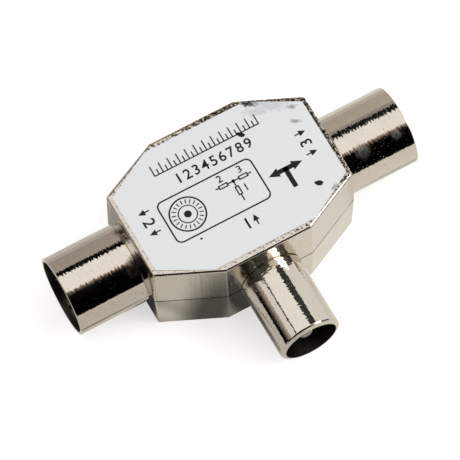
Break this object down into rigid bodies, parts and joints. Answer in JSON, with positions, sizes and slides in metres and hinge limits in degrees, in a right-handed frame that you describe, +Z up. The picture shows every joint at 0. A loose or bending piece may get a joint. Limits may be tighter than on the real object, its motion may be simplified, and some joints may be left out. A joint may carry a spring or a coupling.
{
  "type": "coaxial splitter",
  "caption": "Flat eight-sided metal coaxial T-splitter with a narrow plug port on one long side, a wide socket port on each end and a label on top.",
  "frame": {"origin": "on the underside, below the middle of the eight-sided body", "axes": "+X along the two wide socket ports, -Y the way the narrow plug port points, +Z up through the label"},
  "size_m": [0.0552, 0.035, 0.0171],
  "materials": {
    "body_plating": "polished nickel plate on zinc die casting",
    "sleeve_plating": "polished nickel plate on turned brass",
    "contact_plating": "polished nickel plate on turned brass",
    "spring_bronze": "satin tinned bronze strip",
    "label_foil": "satin white coated label stock",
    "insulator_resin": "satin natural moulded resin",
    "resistor_body": "satin lacquered ceramic",
    "tinned_wire": "satin tinned copper wire",
    "solder": "satin solder"
  },
  "bodies": {
    "root": {"lower_shell": "body_plating", "upper_shell": "body_plating", "label": "label_foil", "in_sleeve": "sleeve_plating", "in_insulator": "insulator_resin", "in_pin": "contact_plating", "in_resistor": "resistor_body", "in_resistor_leads": "tinned_wire", "in_solder_joint": "solder", "star_solder_joint": "solder", "left_out_sleeve": "sleeve_plating", "left_out_spring_ring": "spring_bronze", "left_out_insulator": "insulator_resin", "left_out_receptacle": "contact_plating", "left_out_resistor": "resistor_body", "left_out_resistor_leads": "tinned_wire", "left_out_solder_joint": "solder", "right_out_sleeve": "sleeve_plating", "right_out_spring_ring": "spring_bronze", "right_out_insulator": "insulator_resin", "right_out_receptacle": "contact_plating", "right_out_resistor": "resistor_body", "right_out_resistor_leads": "tinned_wire", "right_out_solder_joint": "solder"}
  },
  "joints": []
}
